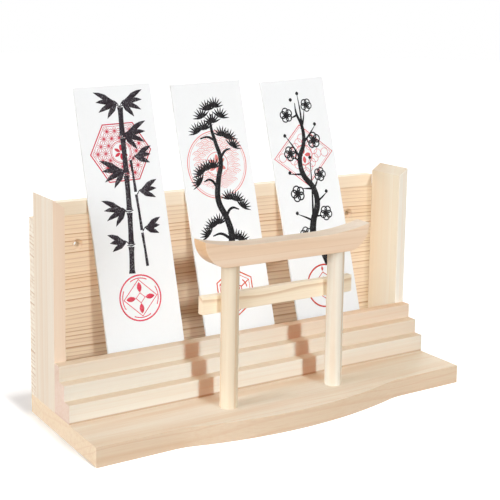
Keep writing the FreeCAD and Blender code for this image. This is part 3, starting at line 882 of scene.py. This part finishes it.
class Drawing:
    """Prints of one colour on one tablet, collected as flat slabs in the tablet's own plane."""

    def __init__(self, trees, material, top, centre):
        self.trees, self.material, self.top, self.parts = trees, material, top, []
        self.centre = centre

    def ink(self, strokes):
        """Mesh of brush strokes of the kinds line, ring (closed and round) and corners."""
        curve = bpy.data.curves.new("strokes", "CURVE")
        curve.dimensions = "3D"
        curve.resolution_u = 5
        for order, (points, kind) in enumerate(strokes):
            straight = kind == "corners"
            spline = curve.splines.new("POLY" if straight else "BEZIER")
            dots = spline.points if straight else spline.bezier_points
            dots.add(len(points) - 1)
            height = self.top + order * INK_LAYER
            for dot, (x, y, half) in zip(dots, points):
                dot.radius = half * MM
                dot.co = (x * MM, y * MM, height, 1) if straight else (x * MM, y * MM, height)
                if not straight:
                    dot.handle_left_type = dot.handle_right_type = "AUTO"
            spline.use_cyclic_u = kind in ("ring", "corners")
        lines = place_object("strokes", curve)
        mesh = grow(self.trees["brush"], strokes=lines, depth=INK_DEPTH, material=self.material)
        bpy.data.objects.remove(lines)
        return mesh

    def keep(self, mesh, lift=0.0):
        x, y = self.centre
        self.parts.append((mesh, Matrix.Translation((x * MM, (y + lift) * MM, 0))))

    def draw(self, *strokes):
        self.keep(self.ink(strokes))

    def wheel(self, strokes, count, first=0, step=None, centres=((0, 0, 0, 1),)):
        """Repeat strokes by even turns about centres given as (x, y, turn, size)."""
        spots = bpy.data.meshes.new("spots")
        spots.from_pydata([(x * MM, y * MM, 0) for x, y, _, _ in centres], [], [])
        turns = spots.attributes.new("turn", "FLOAT", "POINT").data
        turns.foreach_set("value", [math.radians(centre[2]) for centre in centres])
        sizes = spots.attributes.new("size", "FLOAT", "POINT").data
        sizes.foreach_set("value", [centre[3] for centre in centres])
        marks = place_object("spots", spots)
        self.keep(grow(self.trees["round"], self.ink(strokes), centres=marks, count=count,
                       first_turn=math.radians(first), step_turn=math.radians(step or 360 / count),
                       layer=INK_LAYER, material=self.material))
        bpy.data.objects.remove(marks)

    def lattice(self, strokes, size, steps, sides, reach, free, squash=1.0, lift=0.0):
        """Repeat strokes in staggered rows: how many, how far apart, and where they stop."""
        self.keep(grow(self.trees["lattice"], self.ink(strokes), columns=size[0], rows=size[1],
                       column_step=steps[0] * MM, row_step=steps[1] * MM, sides=float(sides),
                       side_turn=0.0, reach=reach * MM, squash=squash, free_middle=free * MM,
                       layer=LATTICE_LAYER, material=self.material), lift)

    def finish(self, name, place):
        """Join what was kept, lay it on the tablet and let it ride with the shelf."""
        form = bmesh.new()
        for mesh, shift in self.parts:
            mesh.transform(place @ shift)
            form.from_mesh(mesh)
        bmesh.ops.recalc_face_normals(form, faces=form.faces)
        whole = bpy.data.meshes.new(name)
        form.to_mesh(whole)
        form.free()
        whole.materials.append(self.material)
        for face in whole.polygons:
            face.material_index = 0
        piece = place_object(name, whole)
        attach(piece, "root")


def tablet_place(node):
    """Place of a drawing on a tablet's face: X across from its middle, Y up from its foot."""
    corners = {tuple(round(value, 6) for value in vertex.co): vertex.co.copy()
               for vertex in NODES[node].data.vertices}
    corners = sorted(corners.values(), key=lambda corner: corner.z)
    foot = min(corners[1:], key=lambda corner: (corner - corners[0]).length)
    near = sorted(corners, key=lambda corner: (corner - foot).length)
    across, up = near[2] - foot, near[4] - foot
    middle = foot + across / 2
    across, up = across.normalized(), up.normalized()
    turn = Matrix((across, up, across.cross(up))).transposed().to_4x4()
    return Matrix.Translation(middle) @ turn


class SHELF_OT_tablets(bpy.types.Operator):
    """Finish the three paper tablets and their painted ink, crests and seals"""

    bl_idname = "shelf.tablets"
    bl_label = "Tablets"

    def execute(self, context):
        look = context.scene.shelf_tablets
        material = paper("tablet_paper", look.paper_colour)
        self.trees = {"brush": brush_tree(), "round": round_tree(), "lattice": lattice_tree()}
        self.print_height = look.print_height
        for node, prints in (("tablet_left", self.left), ("tablet_middle", self.middle),
                             ("tablet_right", self.right)):
            dress(node, material)
            for name, drawing in zip(("crest", "seal", "ink"), prints(look)):
                drawing.finish(f"{node}_{name}", tablet_place(node))
        return {"FINISHED"}

    def drawing(self, kind, name, tint, centre=(0, 0), dryness=None):
        material = print_material(name, tint, dryness or PRINT_DRYNESS[kind])
        return Drawing(self.trees, material, self.print_height * PRINT_LEVEL[kind], centre)

    def left(self, look):
        """Bamboo, a hexagon of hemp-leaf lattice and a round seal"""
        ink = self.drawing("ink", "left_ink", look.soft_ink_colour, (0.5, 0), SOFT_INK_DRYNESS)
        ink.draw(*bamboo())
        crest = self.drawing("crest", "left_crest_red", look.left_crest_colour, (0, 191))
        crest.draw(polygon(6, 26.5, 0.55), polygon(6, 24.6, 0.22), polygon(24, 9.0, 0.32),
                   polygon(24, 7.9, 0.16))
        rays = [(reach, math.radians(turn)) for k in range(6)
                for reach, turn in ((3.4, 60 * k), (3.87, 30 + 60 * k))]
        star = [line((0, 0, 0.2), (reach * math.cos(turn), reach * math.sin(turn), 0.2))
                for reach, turn in rays]
        crest.lattice(star, (9, 9), (6.7, 5.802), sides=6, reach=18.0, free=9.5)
        crest.wheel([petal(0.8, 5.6, 1.3)], 6)
        seal = self.drawing("seal", "left_seal_red", look.left_seal_colour, (0, 74))
        seal.draw(polygon(40, 18.0, 0.6), polygon(4, 14.6, 0.45), polygon(4, 4.0, 0.4))
        seal.wheel([petal(4.4, 8.0, 2.1), arc_stroke(15.6, 62, 118, 0.4)], 4)
        return crest, seal, ink

    def middle(self, look):
        """Pine, a circle of wave scales and a hexagon seal"""
        ink = self.drawing("ink", "middle_ink", look.ink_colour)
        ink.draw(*pine())
        ink.wheel([leaf(0, 0.4, 0, 9.2, 0.78)], look.needles, -FAN_SPREAD / 2,
                  FAN_SPREAD / (look.needles - 1), [(x, y, -turn, 1.0) for x, y, turn in PINE_FANS])
        crest = self.drawing("crest", "middle_crest_pink", look.middle_crest_colour, (0, 175))
        crest.draw(polygon(64, 28.5, 0.4), polygon(64, 26.9, 0.2), polygon(32, 10.5, 0.3))
        wave = [arc_stroke(4.6, 29.6, 150.4, 0.2), arc_stroke(3.2, 35.2, 144.8, 0.16),
                arc_stroke(1.85, 36.2, 143.8, 0.16)]
        crest.lattice(wave, (9, 25), (9.2, 2.3), sides=40, reach=22.0, free=11.5, lift=-1.0)
        crest.wheel([petal(1.2, 7.6, 1.9)], 6)
        seal = self.drawing("seal", "middle_seal_red", look.middle_seal_colour, (0, 67))
        seal.draw(*(polygon(6, radius, half, 90)
                    for radius, half in ((19.5, 0.6), (16.6, 0.3), (7.2, 0.5))))
        seal.wheel([petal(1.0, 4.8, 1.1), line((0, 7.4, 0.5), (0, 16.4, 0.5)),
                    arc_stroke(12.0, 72, 108, 0.5)], 6)
        return crest, seal, ink

    def right(self, look):
        """Plum blossom, a diamond of interlaced circles and a round seal"""
        ink = self.drawing("ink", "right_ink", look.ink_colour)
        ink.draw(*plum())
        turns = [math.tau * k / 8 for k in range(8)]
        ring = [(3.1 * math.cos(a), 3.4 + 2.9 * math.sin(a), 0.55) for a in turns], "ring"
        stamen = line((0, 0.2, 0.3), (0, 2.2, 0.25), (0, 3.0, 0.5), (0, 3.4, 0.2))
        ink.wheel([ring], 5, centres=PLUM_BLOSSOMS)
        ink.wheel([stamen], 5, 36, centres=PLUM_BLOSSOMS)
        crest = self.drawing("crest", "right_crest_red", look.right_crest_colour, (0, 177))
        crest.draw(polygon(4, 31.5, 0.5, 0, 0.86), polygon(4, 29.2, 0.22, 0, 0.86),
                   polygon(32, 9.0, 0.3))
        crest.lattice([polygon(20, 3.8, 0.2)], (11, 17), (7.6, 3.8), sides=4, reach=16.3,
                      free=10.8, squash=0.86)
        crest.wheel([petal(1.0, 6.4, 1.8)], 4)
        seal = self.drawing("seal", "right_seal_red", look.right_seal_colour, (0, 60))
        seal.draw(polygon(40, 18.5, 0.7), *(polygon(4, radius, half, 0, 0.8) for radius, half in
                                            ((15.0, 0.5), (9.6, 0.45), (4.6, 0.45))))
        seal.wheel([petal(13.0, 4.2, 1.1)], 2)
        return crest, seal, ink


# Stage

def camera_matrix(look):
    """Camera turned from the shelf's front, dipped and rolled."""
    yaw, dip, roll = look.heading, look.dip, look.roll
    ahead = Vector((math.sin(yaw) * math.cos(dip), math.cos(yaw) * math.cos(dip), -math.sin(dip)))
    right = Vector((math.cos(yaw), -math.sin(yaw), 0))
    up = right.cross(ahead)
    right, up = (right * math.cos(roll) + up * math.sin(roll),
                 up * math.cos(roll) - right * math.sin(roll))
    turn = Matrix((right, up, -ahead)).transposed().to_4x4()
    return Matrix.Translation(look.eye) @ turn


class SHELF_OT_stage(bpy.types.Operator):
    """Make the floor, the lamps, the room light and the camera"""

    bl_idname = "shelf.stage"
    bl_label = "Stage"

    def execute(self, context):
        scene = context.scene
        look = scene.shelf_stage
        scene.view_settings.view_transform = "Standard"
        self.lamps(scene, look, self.floor(look))
        self.room(scene, look)
        data = bpy.data.cameras.new("photo_camera")
        data.sensor_width = 36
        data.lens = look.focal
        data.shift_y = look.rise
        data.clip_start = 0.01
        camera = place_object("photo_camera", data)
        camera.matrix_world = camera_matrix(look)
        scene.camera = camera
        return {"FINISHED"}

    def floor(self, look):
        mesh = bpy.data.meshes.new("floor")
        form = bmesh.new()
        bmesh.ops.create_circle(form, cap_ends=True, radius=FLOOR_RADIUS, segments=64)
        bmesh.ops.translate(form, verts=form.verts, vec=(0, 0, -FLOOR_GAP))
        form.to_mesh(mesh)
        form.free()
        floor = place_object("floor", mesh)
        material = new_material("floor_white")
        tree = material.node_tree
        seen = add(tree, "ShaderNodeLightPath").outputs["Is Camera Ray"]
        speck = noise(tree, add(tree, "ShaderNodeTexCoord").outputs["Object"], (3.0, 3.0, 3.0), 1.0)
        tone = blend(tree, seen, blend(tree, speck, *FLOOR_BOUNCE), FLOOR_SEEN)
        body = make(tree, "ShaderNodeBsdfDiffuse", {"Color": tone})
        glow = make(tree, "ShaderNodeEmission",
                    {"Color": (*PLAIN, 1), "Strength": maths(tree, "MULTIPLY", seen, look.glow)})
        both = make(tree, "ShaderNodeAddShader", {0: body, 1: glow})
        add(tree, "ShaderNodeOutputMaterial", {"Surface": both})
        mesh.materials.append(material)
        return floor

    def lamps(self, scene, look, floor):
        """Set up the lamps and say which pieces each one reaches and which shade it.

        The gate throws no shadow on the tablets and their prints. The base board and the steps
        have a cooler key and a red fill that the gate doesn't shade, so that its shadows on them
        turn warm. The back board has two keys, and the tablets shade only one of them. The
        floor's shadow comes from the base board alone.
        """
        groups = {"tablets": [thing for thing in scene.objects if thing.name.startswith("tablet_")],
                  "gate": [NODES[node] for node in NODES if node.startswith("torii_")],
                  "boards": [NODES["base_board"], NODES["step_lower"], NODES["step_middle"],
                             NODES["step_upper"]],
                  "base": [NODES["base_board"]], "back": [NODES["back_board"]],
                  "panel": [NODES["side_panel_right"]], "floor": [floor]}
        for name, (setting, share, travel, spread, tint, lit, shading) in LAMPS.items():
            lamp = self.lamp(name, share * getattr(look, setting), travel, spread, tint)
            for role, names in (("receiver", lit), ("blocker", shading)):
                if names:
                    pieces = sum((groups[group] for group in names.strip("-").split()), [])
                    self.link(lamp, role, pieces, "EXCLUDE" if names[0] == "-" else "INCLUDE")

    def lamp(self, name, strength, travel, spread, tint):
        """Lamp far away that shines along the travel direction."""
        data = bpy.data.lights.new(name, "SUN")
        data.energy = strength * max(tint)
        data.angle = math.radians(spread)
        data.color = [part / max(tint) for part in tint]
        lamp = place_object(name, data)
        direction = Vector(travel).normalized()
        turn = direction.to_track_quat("-Z", "Y").to_matrix().to_4x4()
        lamp.matrix_world = Matrix.Translation(LAMP_AIM - direction * LAMP_DISTANCE) @ turn
        return lamp

    def link(self, lamp, role, pieces, state):
        """Say which pieces a lamp reaches, or which of them throw its shadow."""
        group = bpy.data.collections.new(f"{lamp.name}_{role}s")
        for piece in pieces:
            group.objects.link(piece)
        for item in group.collection_objects:
            item.light_linking.link_state = state
        setattr(lamp.light_linking, f"{role}_collection", group)

    def room(self, scene, look):
        """Even light of the room, which the camera and gloss see as plain white."""
        world = bpy.data.worlds.new("room_light")
        scene.world = world
        world.use_nodes = True
        tree = world.node_tree
        tree.nodes.clear()
        path = add(tree, "ShaderNodeLightPath").outputs
        seen = maths(tree, "MAXIMUM", path["Is Camera Ray"],
                     maths(tree, "MAXIMUM", path["Is Glossy Ray"], path["Is Transmission Ray"]))
        dim = make(tree, "ShaderNodeBackground", {"Color": (*SKY_TINT, 1), "Strength": look.sky})
        white = make(tree, "ShaderNodeBackground", {"Color": (*PLAIN, 1), "Strength": 1.0})
        light = make(tree, "ShaderNodeMixShader", {0: seen, 1: dim, 2: white})
        add(tree, "ShaderNodeOutputWorld", {"Surface": light})


OPERATORS = (SHELF_OT_base, SHELF_OT_steps, SHELF_OT_panels, SHELF_OT_back, SHELF_OT_posts,
             SHELF_OT_beams, SHELF_OT_tablets, SHELF_OT_stage)


class SHELF_PT_sidebar(bpy.types.Panel):
    """Settings and steps of the shelf"""

    bl_idname = "SHELF_PT_sidebar"
    bl_label = "Altar Shelf"
    bl_space_type = "VIEW_3D"
    bl_region_type = "UI"
    bl_category = "Shelf"

    def draw(self, context):
        for name, group in GROUPS.items():
            box = self.layout.box()
            box.label(text=group.__doc__)
            for item in group.__annotations__:
                box.prop(getattr(context.scene, name), item)
        for operator in OPERATORS:
            self.layout.operator(operator.bl_idname)


CLASSES = (*GROUPS.values(), *OPERATORS, SHELF_PT_sidebar)


def register():
    for item in CLASSES:
        bpy.utils.register_class(item)
    for name, group in GROUPS.items():
        setattr(bpy.types.Scene, name, PointerProperty(type=group))


def unregister():
    for name in GROUPS:
        delattr(bpy.types.Scene, name)
    for item in reversed(CLASSES):
        bpy.utils.unregister_class(item)


def main():
    register()
    for operator in OPERATORS:
        group, name = operator.bl_idname.split(".")
        getattr(getattr(bpy.ops, group), name)()


if __name__ == "__main__":
    main()
